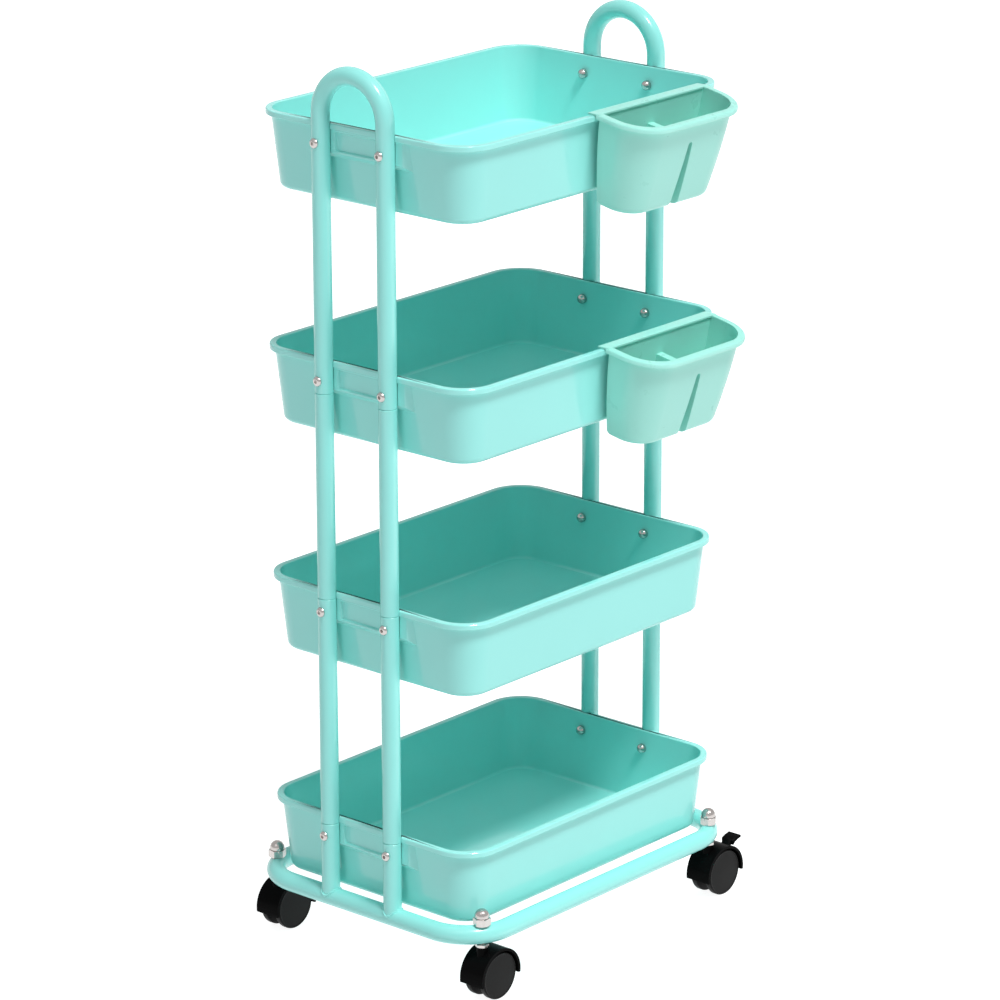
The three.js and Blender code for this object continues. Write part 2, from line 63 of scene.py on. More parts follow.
# Tubes. A post segment has a reduced end, the swage, that plugs into the tube below its seam.
RING_R, POST_R, POST_BORE, EDGE = 10, 9.6, 8.4, 0.5
SWAGE_R, SWAGE_BORE, SWAGE_LENGTH, SWAGE_EDGE = 8, 6.9, 28, 0.6
POST_X, POST_Y = 209.6, 43.2
SEAM_TOP, SEAM_MIDDLE, SEAM_BOTTOM = 618.1, 400.0, 154.3
BEND_Z = 906.0
RING_X, RING_Y, RING_CORNER, RING_Z = 209.6, 151.5, 52, 72
WELD_R, WELD_RIPPLE, WELD_RIPPLES = 1.5, 0.12, 18

# Bins. An outline is half its width, half its depth and its corner radius.
BOLT_Z = {"top": 877.0, "second": 631.7, "third": 386.4, "bottom": 141.1}
RIM_ABOVE_BOLT, BIN_HEIGHT, BIN_WALL = 19.3, 82.1, 2.3
BIN_RIM = (205.7, 145.3, 40)
BIN_TOP = (200.7, 140.3, 35)
BIN_BASE = (192.3, 132.0, 28.7)
BIN_TOE, BIN_TOE_INSIDE = 5.5, 3.2    # radii of the bottom edge, outside and inside
PAD_X, PAD_HALF, PAD_LOW, PAD_HIGH = 203.9, 61, -30, -1.2
PAD_ROOT_X, PAD_WIDER, PAD_LOWER = 196.5, 8, 6
RECESS_X, RECESS_HALF, RECESS_LOW, RECESS_HIGH = 201.3, 28, -27, -9.5
RECESS_MOUTH_X, RECESS_FLARE = 208.2, 3

# Bin bolts, drawn from the outside in, with the head's seat at z = 0.
HEAD_R, HEAD_HEIGHT, SOCKET_R, SHANK_R = 5.2, 2.7, 2.1, 2.9
NUT_R, NUT_X, NUT_STRAIGHT, NUT_CROWN, NUT_LENGTH = 5.2, 195.5, 1.8, 4.6, 6.4

# Cups. An outline is a width, how far the front and the corner radius reach, and the back edge.
CUP_X = {"top": 75.5, "second": 92.5}
CUP_TILT, CUP_BACK_Y, CUP_ABOVE_RIM, CUP_HEIGHT, CUP_WALL = math.radians(11), -149.8, 2.1, 100, 2
CUP_MOUTH = (160, 54, 35, 0)
CUP_BASE = (137, 43, 26, 6)
CUP_RIM = 8.3
CUP_TOE, CUP_TOE_INSIDE = 7, 5
CUP_LEVELS = (-80, -65, -50, -35, -20, -8)
BAND_DEPTH, BAND_THICK = 13.8, 1.7
LIP_HALF, LIP_THICK, LIP_DROP = 72, 1.6, 11
DIVIDER_HALF_TOP, DIVIDER_HALF_BASE, DIVIDER_TOP = 4.6, 8.6, -24.6
GROOVE_HALF_TOP, GROOVE_HALF_BASE, GROOVE_TOP = 3.0, 6.6, -29.6

# Casters. The hood, wheels and lever are drawn about the axle, and the stem stands TRAIL behind it.
CASTER_ANGLE = math.radians(58.3)
CASTER_X = RING_X - RING_CORNER + RING_CORNER * math.cos(CASTER_ANGLE)
CASTER_Y = RING_Y - RING_CORNER + RING_CORNER * math.sin(CASTER_ANGLE)
TRAIL, WHEEL_R, WHEEL_INNER, WHEEL_OUTER = 12.7, 25, 6.5, 13.6
AXLE_R = 3.3
HOOD_R, HOOD_INSIDE, HOOD_HALF, WEB_R, WEB_HALF = 30, 27, 15.2, 28, 5.5
NECK_R, NECK_TOP, NECK_BORE = 6, 33.4, 4.3
LEVER_X, LEVER_Z = 12.5, 16
LEVER_HALF, LEVER_BARREL, BLADE_HALF = 5.1, 3.4, 8
NUT_BORE, CAP_FLAT, CAP_CORNER, CAP_TOP = 4.4, 8, 9.4, 17.5
CAP_DOME, CAP_DOME_Z = 7.6, 9.9
THREAD_R, THREAD_ROOT, THREAD_PITCH = 4.0, 3.6, 1.0
STEM_FOOT, THREAD_START, STEM_ABOVE_RING = 41.6, 56.0, 9
JAM_NUT_CORNER, JAM_NUT_HEIGHT = 7.3, 3.3

CORNER_STEPS, TOE_STEPS = 14, 7
ENDS = {"left": -1, "right": 1}
SIDES = {"front": -1, "rear": 1}
CORNERS = [(end, side, ENDS[end], SIDES[side]) for end in ENDS for side in SIDES]
BRAKED = ("right_front", "right_rear")

# ---- meshes --------------------------------------------------------------------------------------


def loft(rings, closed=False):
    """Vertices and faces of a skin over rings of equal point count, with its ends filled unless closed."""
    n = len(rings[0])
    verts = [Vector(p) for ring in rings for p in ring]
    faces = []
    for r in range(len(rings) if closed else len(rings) - 1):
        a, b = r * n, (r + 1) % len(rings) * n
        faces += [(a + i, a + (i + 1) % n, b + (i + 1) % n, b + i) for i in range(n)]
    if not closed:
        faces.append(tuple(reversed(range(n))))
        faces.append(tuple(range(len(verts) - n, len(verts))))
    return verts, faces


def circle(r, z, sections):
    return [
        (r * math.cos(math.tau * i / sections), r * math.sin(math.tau * i / sections), z)
        for i in range(sections)
    ]


def lathe(profile, sections=48):
    """Solid of revolution about +Z. A radius of 0 becomes a single point."""
    verts, faces, rows = [], [], []
    for r, z in profile:
        if r < 1e-6:
            rows.append([len(verts)] * sections)
            verts.append(Vector((0, 0, z)))
        else:
            rows.append(list(range(len(verts), len(verts) + sections)))
            verts += [Vector(p) for p in circle(r, z, sections)]
    pairs = list(zip(rows, rows[1:]))
    if profile[0][0] > 0 and profile[-1][0] > 0:
        pairs.append((rows[-1], rows[0]))
    for low, high in pairs:
        for i in range(sections):
            j = (i + 1) % sections
            face = []
            for k in (low[i], low[j], high[j], high[i]):
                if k not in face:
                    face.append(k)
            if len(face) > 2:
                faces.append(tuple(face))
    return verts, faces


def sweep(path, radii, side, sections=48, closed=False):
    """Round bar along a path that lies square to side, with its own radius at each point."""
    rings = []
    last = len(path) - 1
    for i, (point, r) in enumerate(zip(path, radii)):
        before = path[i - 1] if i or closed else path[0]
        after = path[(i + 1) % len(path)] if i < last or closed else path[last]
        along = (after - before).normalized()
        up = along.cross(side).normalized()
        turns = [math.tau * k / sections for k in range(sections)]
        rings.append([point + side * (r * math.cos(t)) + up * (r * math.sin(t)) for t in turns])
    return loft(rings, closed)


def slab(outline, half):
    """Prism of an outline in X and Z, from y = -half to y = half."""
    return loft([[(x, -half, z) for x, z in outline], [(x, half, z) for x, z in outline]])


def arc(r, start, stop, steps, x=0.0, z=0.0):
    """Points of an arc in X and Z about (x, z), between two angles in degrees."""
    turns = [math.radians(start + (stop - start) * i / steps) for i in range(steps + 1)]
    return [(x + r * math.cos(t), z + r * math.sin(t)) for t in turns]


def rounded(half_x, half_y, corner, z, steps=CORNER_STEPS):
    """Outline of a rounded rectangle at height z."""
    ring = []
    for k, (sx, sy) in enumerate(((1, 1), (-1, 1), (-1, -1), (1, -1))):
        x, y = sx * (half_x - corner), sy * (half_y - corner)
        for i in range(steps + 1):
            t = math.radians(90 * k + 90 * i / steps)
            ring.append((x + corner * math.cos(t), y + corner * math.sin(t), z))
    return ring


def mixed(a, b, t):
    """The outline a share t of the way from a to b."""
    return tuple(p + (q - p) * t for p, q in zip(a, b))


def moved(part, matrix):
    verts, faces = part
    return [matrix @ v for v in verts], faces


def shifted(part, x, y, z):
    return moved(part, Matrix.Translation((x, y, z)))


def crosswise(part):
    """A part drawn about +Z, laid down along Y."""
    return moved(part, Matrix.Rotation(math.pi / 2, 4, "X"))


def rod(radius, low, high, sections):
    return lathe([(0, low), (radius, low), (radius, high), (0, high)], sections)


def mesh_of(parts, name="part"):
    """One Blender mesh, faces out, of parts that don't share vertices."""
    verts, faces = [], []
    for part_verts, part_faces in parts:
        start = len(verts)
        verts += part_verts
        faces += [tuple(start + i for i in face) for face in part_faces]
    mesh = bpy.data.meshes.new(name)
    mesh.from_pydata([tuple(v) for v in verts], [], faces)
    fix_normals(mesh)
    return mesh


def fix_normals(mesh):
    work = bmesh.new()
    work.from_mesh(mesh)
    bmesh.ops.recalc_face_normals(work, faces=work.faces)
    work.to_mesh(mesh)
    work.free()


def held(mesh):
    """The mesh as an object in the scene."""
    made = bpy.data.objects.new(mesh.name, mesh)
    bpy.context.collection.objects.link(made)
    return made


def evaluated(mesh, kind, **settings):
    """The mesh after one modifier."""
    holder = held(mesh)
    modifier = holder.modifiers.new(kind, kind)
    for key, value in settings.items():
        setattr(modifier, key, value)
    depsgraph = bpy.context.evaluated_depsgraph_get()
    result = bpy.data.meshes.new_from_object(holder.evaluated_get(depsgraph))
    bpy.data.objects.remove(holder)
    return result


def joined(mesh, other, operation):
    """The mesh after a boolean with the other mesh."""
    tool = held(other)
    result = evaluated(mesh, "BOOLEAN", operation=operation, solver="EXACT", object=tool)
    bpy.data.objects.remove(tool)
    return result


def softened(mesh, width, segments=2):
    """The mesh with its sharp edges rounded."""
    return evaluated(
        mesh, "BEVEL", width=width, segments=segments, limit_method="ANGLE", angle_limit=math.radians(35),
        use_clamp_overlap=True, miter_outer="MITER_ARC")


def piece(name, mesh, placing, material, body, nodes, sharp=32):
    """A visual piece that stands for CAD nodes and rides on their body.

    The placing is in millimetres, and edges sharper than the angle sharp, in degrees, stay crisp.
    """
    shaded = mesh.copy()
    shaded.shade_smooth()
    shaded.set_sharp_from_angle(angle=math.radians(sharp))
    data = evaluated(shaded, "WEIGHTED_NORMAL", keep_sharp=True)
    data.name = name
    data.transform(Matrix.Translation(MIDDLE) @ Matrix.Scale(MM, 4) @ placing)
    data.materials.clear()
    data.materials.append(material)
    made = bpy.data.objects.new(name, data)
    bpy.context.collection.objects.link(made)
    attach(made, body)
    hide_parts(*nodes)
    return made


def at(x, y, z, *turns):
    """A place and then turns, each an angle and its axis."""
    matrix = Matrix.Translation((x, y, z))
    for angle, axis in turns:
        matrix = matrix @ Matrix.Rotation(angle, 4, axis)
    return matrix


# ---- materials -----------------------------------------------------------------------------------


SPECK_SCALE, BUMP_DEPTH = 900, 0.0002
EVEN = (1, 1, 1)


def shade(name, base, edge, roughness, sockets, cloud=18, mottle=0.03, speck=0.12, edge_wear_and_highlight=0.35, spread=0.06,
          rough_scale=60, brush=EVEN, grain=1400, bump=0.12):
    """Principled material with mottled colour, paler sharp edges for rubbing and, on the caster black,
    painted highlight, varied roughness and fine bump.
    """
    material = bpy.data.materials.new(name)
    material.use_nodes = True
    nodes, links = material.node_tree.nodes, material.node_tree.links
    shader = nodes["Principled BSDF"]
    for socket, value in sockets.items():
        shader.inputs[socket].default_value = value
    where = nodes.new("ShaderNodeTexCoord").outputs["Object"]

    def noise(scale, detail, stretch=EVEN):
        mapping = nodes.new("ShaderNodeMapping")
        mapping.inputs["Scale"].default_value = stretch
        links.new(where, mapping.inputs["Vector"])
        texture = nodes.new("ShaderNodeTexNoise")
        texture.inputs["Scale"].default_value = scale
        texture.inputs["Detail"].default_value = detail
        links.new(mapping.outputs["Vector"], texture.inputs["Vector"])
        return texture.outputs["Fac"]

    def ramp(source, lo, hi, from_value, to_value):
        node = nodes.new("ShaderNodeMapRange")
        for key, value in zip(("From Min", "From Max", "To Min", "To Max"), (lo, hi, from_value, to_value)):
            node.inputs[key].default_value = value
        links.new(source, node.inputs["Value"])
        return node.outputs["Result"]

    def mix(factor, a, b):
        node = nodes.new("ShaderNodeMix")
        node.data_type = "RGBA"
        links.new(factor, node.inputs["Factor"])
        for socket, colour in (("A_Color", a), ("B_Color", b)):
            entry = next(one for one in node.inputs if one.identifier == socket)
            if isinstance(colour, tuple):
                entry.default_value = (*colour, 1)
            else:
                links.new(colour, entry)
        return next(one for one in node.outputs if one.identifier == "Result_Color")

    deep = tuple(c * (1 - mottle) for c in base)
    pale = tuple(min(1, c * (1 + mottle)) for c in base)
    clouded = mix(ramp(noise(cloud, 4), 0.35, 0.65, 0, 1), deep, pale)
    specked = mix(ramp(noise(SPECK_SCALE, 2), 0.62, 0.8, 0, speck), clouded, edge)
    point = nodes.new("ShaderNodeNewGeometry").outputs["Pointiness"]
    # Sharp edges turn towards the edge colour: rubbing, and on the caster black painted highlight along the
    # rims.
    rubbed_and_highlit = mix(ramp(point, 0.51, 0.58, 0, edge_wear_and_highlight), specked, edge)
    links.new(rubbed_and_highlit, shader.inputs["Base Color"])
    rough = ramp(noise(rough_scale, 5, brush), 0.3, 0.7, roughness - spread, roughness + spread)
    links.new(rough, shader.inputs["Roughness"])
    relief = nodes.new("ShaderNodeBump")
    relief.inputs["Strength"].default_value = bump
    relief.inputs["Distance"].default_value = BUMP_DEPTH
    links.new(noise(grain, 3, brush), relief.inputs["Height"])
    links.new(relief.outputs["Normal"], shader.inputs["Normal"])
    return material


BIN_MAT = shade(
    "mint_plastic", (0.35, 0.90, 0.85), (0.52, 0.95, 0.91), 0.09, {"Specular IOR Level": 0.5},
    cloud=9, mottle=0.008, speck=0.03, edge_wear_and_highlight=0.15, spread=0.02, grain=1500, bump=0.015)
TUBE_MAT = shade(
    "mint_powder_coat", (0.32, 0.87, 0.82), (0.50, 0.91, 0.87), 0.22,
    {"Specular IOR Level": 0.5, "Coat Weight": 0.1, "Coat Roughness": 0.15},
    cloud=14, mottle=0.008, speck=0.03, edge_wear_and_highlight=0.0, spread=0.03, rough_scale=20, grain=700, bump=0.05)
CUP_MAT = shade(
    "cup_plastic", (0.40, 0.88, 0.785), (0.58, 0.96, 0.90), 0.30, {"Specular IOR Level": 0.4},
    cloud=12, mottle=0.004, speck=0.01, edge_wear_and_highlight=0.1, spread=0.03, grain=1700, bump=0.015)
STEEL_MAT = shade(
    "bright_nickel", (0.50, 0.465, 0.45), (0.66, 0.63, 0.62), 0.22, {"Metallic": 1.0},
    cloud=120, mottle=0.05, speck=0.08, rough_scale=700, brush=(1, 1, 6), grain=2600, bump=0.08)
# The caster black's paler edge colour, laid on sharp edges, is painted highlight along the hoods' and levers'
# rims, besides a little rubbing.
HOOD_MAT = shade(
    "caster_black", (0.0006, 0.0006, 0.0007), (0.02, 0.02, 0.0205), 0.24, {"Specular IOR Level": 0.02},
    cloud=60, mottle=0.2, speck=0.03, edge_wear_and_highlight=0.12, spread=0.04, grain=1900, bump=0.06)
WHEEL_MAT = shade(
    "wheel_grey", (0.0035, 0.0035, 0.0036), (0.03, 0.03, 0.031), 0.42, {"Specular IOR Level": 0.1},
    cloud=60, mottle=0.12, edge_wear_and_highlight=0.3, grain=1300, bump=0.08)

# ---- frame ---------------------------------------------------------------------------------------


def ring_tube():
    path = [Vector(p) for p in rounded(RING_X, RING_Y, RING_CORNER, RING_Z, 16)]
    return sweep(path, [RING_R] * len(path), Vector((0, 0, 1)), 40, closed=True)


def weld_bead(x, y):
    """Bead on the saddle curve where an upright tube meets the ring's straight run along Y."""
    rings = []
    for i in range(72):
        t = math.tau * i / 72
        foot = Vector((x + POST_R * math.cos(t), y + POST_R * math.sin(t), 0))
        foot.z = RING_Z + math.sqrt(RING_R ** 2 - (POST_R * math.cos(t)) ** 2)
        out = Vector((math.cos(t), math.sin(t), 0))
        r = WELD_R + WELD_RIPPLE * math.sin(WELD_RIPPLES * t)
        turns = [math.tau * k / 10 for k in range(10)]
        rings.append([foot + out * (r * math.cos(a)) + Vector((0, 0, r * math.sin(a))) for a in turns])
    return loft(rings, closed=True)


def stub(x, y):
    """Post stub on the ring, open at the seam."""
    return shifted(lathe([
        (POST_R, RING_Z), (POST_R, SEAM_BOTTOM - EDGE), (POST_R - EDGE, SEAM_BOTTOM),
        (POST_BORE, SEAM_BOTTOM), (POST_BORE, RING_Z)]), x, y, 0)


base_parts = [ring_tube()]
for end, side, sx, sy in CORNERS:
    base_parts += [stub(sx * POST_X, sy * POST_Y), weld_bead(sx * POST_X, sy * POST_Y)]
piece("ring_and_stubs", mesh_of(base_parts), at(0, 0, 0), TUBE_MAT, "frame", ["base_frame"])


def post_profile(seam_below, seam_above):
    """Tube between two seams, with its swage below the lower one."""
    low = seam_below - SWAGE_LENGTH
    foot = seam_below + GAP
    return [
        (SWAGE_BORE, low), (SWAGE_R - SWAGE_EDGE, low), (SWAGE_R, low + SWAGE_EDGE), (SWAGE_R, foot),
        (POST_R - EDGE, foot), (POST_R, foot + EDGE), (POST_R, seam_above - EDGE),
        (POST_R - EDGE, seam_above), (POST_BORE, seam_above), (POST_BORE, foot + 3), (SWAGE_BORE, foot + 1)]


for end, side, sx, sy in CORNERS:
    for kind, low, high in (("lower", SEAM_BOTTOM, SEAM_MIDDLE), ("middle", SEAM_MIDDLE, SEAM_TOP)):
        piece(
            f"{kind}_tube_{end}_{side}", mesh_of([lathe(post_profile(low, high))]),
            at(sx * POST_X, sy * POST_Y, 0), TUBE_MAT, "frame", [f"{kind}_post_{end}_{side}"])


def handle_mesh():
    """Bent tube in the plane x = 0, with its two reduced ends."""
    bend = [
        Vector((0, -POST_Y * math.cos(math.pi * i / 40), BEND_Z + POST_Y * math.sin(math.pi * i / 40)))
        for i in range(41)
    ]
    foot = SEAM_TOP + GAP
    leg = [
        (SWAGE_R - SWAGE_EDGE, foot - SWAGE_LENGTH), (SWAGE_R, foot + SWAGE_EDGE - SWAGE_LENGTH),
        (SWAGE_R, foot), (POST_R - EDGE, foot + 0.01), (POST_R, foot + EDGE)]
    path = [Vector((0, -POST_Y, z)) for _, z in leg] + bend
    path += [Vector((0, POST_Y, z)) for _, z in reversed(leg)]
    radii = [r for r, _ in leg] + [POST_R] * len(bend) + [r for r, _ in reversed(leg)]
    return mesh_of([sweep(path, radii, Vector((1, 0, 0)))])


handle = handle_mesh()
for end, sx in ENDS.items():
    piece(
        f"handle_tube_{end}", handle, at(sx * POST_X, 0, 0), TUBE_MAT, "frame", [f"handle_{end}"])

# ---- bins ----------------------------------------------------------------------------------------


def bin_outline(depth):
    return mixed(BIN_TOP, BIN_BASE, depth / BIN_HEIGHT)


def bin_ring(outline, by, z):
    """Ring at height z, with its outline grown by a distance."""
    return rounded(outline[0] + by, outline[1] + by, outline[2] + by, z)


def bottom_rings(outline_at, bottom, radius, ring_at):
    """Rings that round a bottom edge, from the floor out to the wall."""
    rings = []
    for i in range(TOE_STEPS + 1):
        t = math.radians(90 * i / TOE_STEPS)
        z = bottom + radius * (1 - math.cos(t))
        rings.append(ring_at(outline_at(-z), -radius * (1 - math.sin(t)), z))
    return rings


def end_face(x, half, low, high):
    """Upright rectangle across the cart's end."""
    return [(x, half, high), (x, -half, high), (x, -half, low), (x, half, low)]


def bin_mesh():
    """Open bin with its rim top at z = 0."""
    outer = loft([
        *bottom_rings(bin_outline, -BIN_HEIGHT, BIN_TOE, bin_ring),
        bin_ring(bin_outline(6.9), 0, -6.9), bin_ring(bin_outline(6.3), 0.5, -6.3),
        bin_ring(BIN_RIM, -0.9, -6.2), bin_ring(BIN_RIM, -0.25, -5.95), bin_ring(BIN_RIM, 0, -5.3),
        bin_ring(BIN_RIM, 0, -1.7), bin_ring(BIN_RIM, -0.2, -0.9), bin_ring(BIN_RIM, -0.8, -0.25),
        bin_ring(BIN_RIM, -1.7, 0)])
    body = mesh_of([outer])
    pads, cuts = [], []
    for sx in ENDS.values():
        pads.append(loft([
            end_face(sx * PAD_ROOT_X, PAD_HALF + PAD_WIDER, PAD_LOW - PAD_LOWER, PAD_HIGH),
            end_face(sx * PAD_X, PAD_HALF, PAD_LOW, PAD_HIGH)]))
        cuts.append(loft([
            end_face(sx * RECESS_X, RECESS_HALF, RECESS_LOW, RECESS_HIGH),
            end_face(sx * RECESS_MOUTH_X, RECESS_HALF + RECESS_FLARE, RECESS_LOW - RECESS_FLARE,
                     RECESS_HIGH + RECESS_FLARE)]))
        for sy in SIDES.values():
            cuts.append(shifted(rod(POST_R + GAP, -60, 2, 48), sx * POST_X, sy * POST_Y, 0))
    body = joined(body, mesh_of(pads), "UNION")
    inner = loft([
        *bottom_rings(
            bin_outline, BIN_WALL - BIN_HEIGHT, BIN_TOE_INSIDE,
            lambda o, by, z: bin_ring(o, by - BIN_WALL, z)),
        *[bin_ring(BIN_TOP, by - BIN_WALL, z) for by, z in ((0, -1.3), (0.35, -0.4), (1.2, 0), (1.2, 3))]])
    body = joined(body, mesh_of([inner]), "DIFFERENCE")
    for cut in cuts:
        body = joined(body, mesh_of([cut]), "DIFFERENCE")
    return softened(body, 0.5)


bin_shape = bin_mesh()
for tier, bolt_z in BOLT_Z.items():
    piece(
        f"bin_shell_{tier}", bin_shape, at(0, 0, bolt_z + RIM_ABOVE_BOLT), BIN_MAT, "frame",
        [f"bin_{tier}"], sharp=20)


def bolt_mesh():
    """Button-head socket screw with a dome nut, drawn from the outside in along +Z."""
    head = mesh_of([lathe([
        (0, -HEAD_HEIGHT), (2.4, -HEAD_HEIGHT), (3.3, -2.45), (4.2, -1.9), (4.85, -1.1), (HEAD_R, -0.3),
        (5.15, 0), (SHANK_R, 0), (SHANK_R, 6), (0, 6)], 40)])
    socket = mesh_of([loft([circle(SOCKET_R, -0.9, 6), circle(SOCKET_R, -4, 6)])])
    head = joined(head, socket, "DIFFERENCE")
    depth = POST_X + POST_R + GAP - NUT_X
    turns = [math.radians(a) for a in range(0, 90, 10)]
    dome = [(NUT_R * math.cos(t), depth + NUT_STRAIGHT + NUT_CROWN * math.sin(t)) for t in turns]
    nut = lathe([(0, depth), (NUT_R, depth), *dome, (0, depth + NUT_LENGTH)], 40)
    shank = rod(SHANK_R, 5, depth + 1, 24)
    return softened(joined(joined(head, mesh_of([shank]), "UNION"), mesh_of([nut]), "UNION"), 0.12)


bolt = bolt_mesh()
for tier, bolt_z in BOLT_Z.items():
    for end, side, sx, sy in CORNERS:
        tightened = math.radians(11 * (sy + 2) + bolt_z)
        place = at(
            sx * (POST_X + POST_R + GAP), sy * POST_Y, bolt_z, (-sx * math.pi / 2, "Y"), (tightened, "Z"))
        piece(
            f"screw_and_nut_{tier}_{end}_{side}", bolt, place, STEEL_MAT, "frame",
            [f"bin_bolt_{tier}_{end}_{side}"])

# ---- cups ----------------------------------------------------------------------------------------


def cup_ring(outline, z, by=0.0, back_by=None):
    """Outline of the cup at height z, grown by a distance, with round corners only at the front."""
    width, front, corner, back = outline
    half, r, far = width / 2 + by, corner + by, front + by
    near = back - (by if back_by is None else back_by)
    ring = [(half, -near, z), (-half, -near, z)]
    for sx, start in ((-1, 180), (1, 270)):
        for i in range(CORNER_STEPS + 1):
            t = math.radians(start + 90 * i / CORNER_STEPS)
            ring.append((sx * (half - r) + r * math.cos(t), -(far - r) + r * math.sin(t), z))
    return ring


def cup_outline(depth):
    return mixed(CUP_MOUTH, CUP_BASE, (depth / CUP_HEIGHT) ** 1.5)


def box_part(lo, hi):
    return loft([
        [(hi[0], hi[1], z), (lo[0], hi[1], z), (lo[0], lo[1], z), (hi[0], lo[1], z)] for z in (lo[2], hi[2])])


def cup_mesh():
    """Hanging cup, drawn level with its mouth at z = 0 and its back edge at y = 0."""
    body = mesh_of([loft([
        *bottom_rings(cup_outline, -CUP_HEIGHT, CUP_TOE, lambda o, by, z: cup_ring(o, z, by + CUP_WALL)),
        *[cup_ring(cup_outline(-z), z, CUP_WALL) for z in CUP_LEVELS],
        cup_ring(CUP_MOUTH, -1, CUP_WALL)])])
    cavity = mesh_of([loft([
        *bottom_rings(
            cup_outline, CUP_WALL - CUP_HEIGHT, CUP_TOE_INSIDE, lambda o, by, z: cup_ring(o, z, by)),
        *[cup_ring(cup_outline(-z), z) for z in CUP_LEVELS],
        *[cup_ring(CUP_MOUTH, z, by) for z, by in ((-1.2, 0), (-0.3, 0.3), (0, 1.0), (3, 1.0))]])])
    rim_section = ((-6, 1.6), (-5.6, 0.6), (-4.6, 0), (-2.4, 0), (-1.0, 0.7), (-0.25, 1.8), (0, 3))
    rim = mesh_of([loft([cup_ring(CUP_MOUTH, z, CUP_RIM - inset, CUP_WALL) for z, inset in rim_section])])
    half_band = CUP_MOUTH[0] / 2 + CUP_RIM - 1
    band = mesh_of([moved(
        box_part((-half_band, -1, -BAND_THICK), (half_band, BAND_DEPTH, 0)),
        Matrix.Rotation(-CUP_TILT, 4, "X"))])
    drop, back = BAND_DEPTH * math.sin(CUP_TILT), BAND_DEPTH * math.cos(CUP_TILT)
    lip = mesh_of([box_part((-LIP_HALF, back - LIP_THICK, -LIP_DROP - drop), (LIP_HALF, back, -0.4 - drop))])
    wedge = [
        (-DIVIDER_HALF_TOP, DIVIDER_TOP), (DIVIDER_HALF_TOP, DIVIDER_TOP), (DIVIDER_HALF_BASE, -99),
        (-DIVIDER_HALF_BASE, -99)]
    divider = mesh_of([loft([[(x, y, z) for x, z in wedge] for y in (0, -54)])])
    divider = joined(divider, body, "INTERSECT")
    arch = [
        (GROOVE_HALF_BASE, -101), *arc(GROOVE_HALF_TOP, 0, 180, 12, 0, GROOVE_TOP), (-GROOVE_HALF_BASE, -101)]
    groove = mesh_of([loft([[(x, y, z) for x, z in arch] for y in (-58, -18)])])
    shape = joined(body, rim, "UNION")
    shape = joined(shape, cavity, "DIFFERENCE")
    for extra in (band, lip, divider):
        shape = joined(shape, extra, "UNION")
    shape = joined(shape, groove, "DIFFERENCE")
    return softened(shape, 0.9, 3)


cup_shape = cup_mesh()
for tier, cup_x in CUP_X.items():
    place = at(cup_x, CUP_BACK_Y, BOLT_Z[tier] + RIM_ABOVE_BOLT + CUP_ABOVE_RIM, (CUP_TILT, "X"))
    piece(
        f"cup_shell_{tier}", cup_shape, place, CUP_MAT, f"cup_{tier}", [f"cup_{tier}"],
        sharp=28)

# ---- casters -------------------------------------------------------------------------------------


def lever_slab(profile, half):
    """Slab across the caster, of an outline drawn about the lever's pin."""
    return mesh_of([slab([(LEVER_X + x, LEVER_Z + z) for x, z in profile], half)])


def lever_rod(radius, half):
    """Rod across the caster, on the lever's pin."""
    return mesh_of([shifted(crosswise(rod(radius, -half, half, 32)), LEVER_X, 0, LEVER_Z)])


def hood_mesh(braked):
    """Cover and centre web of a caster, with its swivel neck, and a slot for the lever if braked."""
    cover = mesh_of([slab(arc(HOOD_R, -8, 189, 64) + arc(HOOD_INSIDE, 189, -8, 64), HOOD_HALF)])
    web = mesh_of([slab(arc(WEB_R, 1, 185, 48) + arc(8, 200, 340, 16), WEB_HALF)])
    neck = mesh_of([shifted(lathe([
        (0, 14.5), (NECK_R, 14.5), (NECK_R, 32.6), (5.4, NECK_TOP), (NECK_BORE, NECK_TOP), (NECK_BORE, 16),
        (0, 16)], 40), -TRAIL, 0, 0)])
    neck_hole = mesh_of([shifted(rod(NECK_BORE, 16, 40, 32), -TRAIL, 0, 0)])
    axle_hole = mesh_of([crosswise(rod(AXLE_R, -8, 8, 24))])
    shape = joined(joined(cover, web, "UNION"), neck, "UNION")
    shape = joined(joined(shape, neck_hole, "DIFFERENCE"), axle_hole, "DIFFERENCE")
    if braked:
        slot = lever_slab([(3.3, -1.2), (18.5, 4.5), (16, 17), (3, 14), (-2.6, 3)], LEVER_HALF + 0.7)
        shape = joined(joined(shape, slot, "DIFFERENCE"), lever_rod(LEVER_BARREL + 0.4, 8), "DIFFERENCE")
    return softened(shape, 0.6, 3)


def wheel_mesh():
    """Wheel with its closed disc outwards along +Z."""
    tread = [(23.6, WHEEL_INNER), (24.6, 6.9), (WHEEL_R, 7.8), *arc(1.5, 0, 90, 5, WHEEL_R - 1.5, 12.1)]
    disc = [(22.9, 13.3), (22.3, 13.2), (18, 13.36), (12, 13.5), (6, 13.58), (0, WHEEL_OUTER)]
    return mesh_of([lathe([(0, 12.2), (AXLE_R, 12.2), (AXLE_R, WHEEL_INNER), *tread, *disc], 72)])


def hexagon_nut(radius, low, high, chamfer=0.9):
    """Hexagon with the round chamfer that turned nuts have at each face."""
    prism = mesh_of([loft([circle(radius, low, 6), circle(radius, high, 6)])])
    inside = radius * math.cos(math.pi / 6)
    round_ends = mesh_of([lathe([
        (0, low), (inside, low), (radius + 0.4, low + chamfer), (radius + 0.4, high - chamfer),
        (inside, high), (0, high)], 60)])
    return joined(prism, round_ends, "INTERSECT")


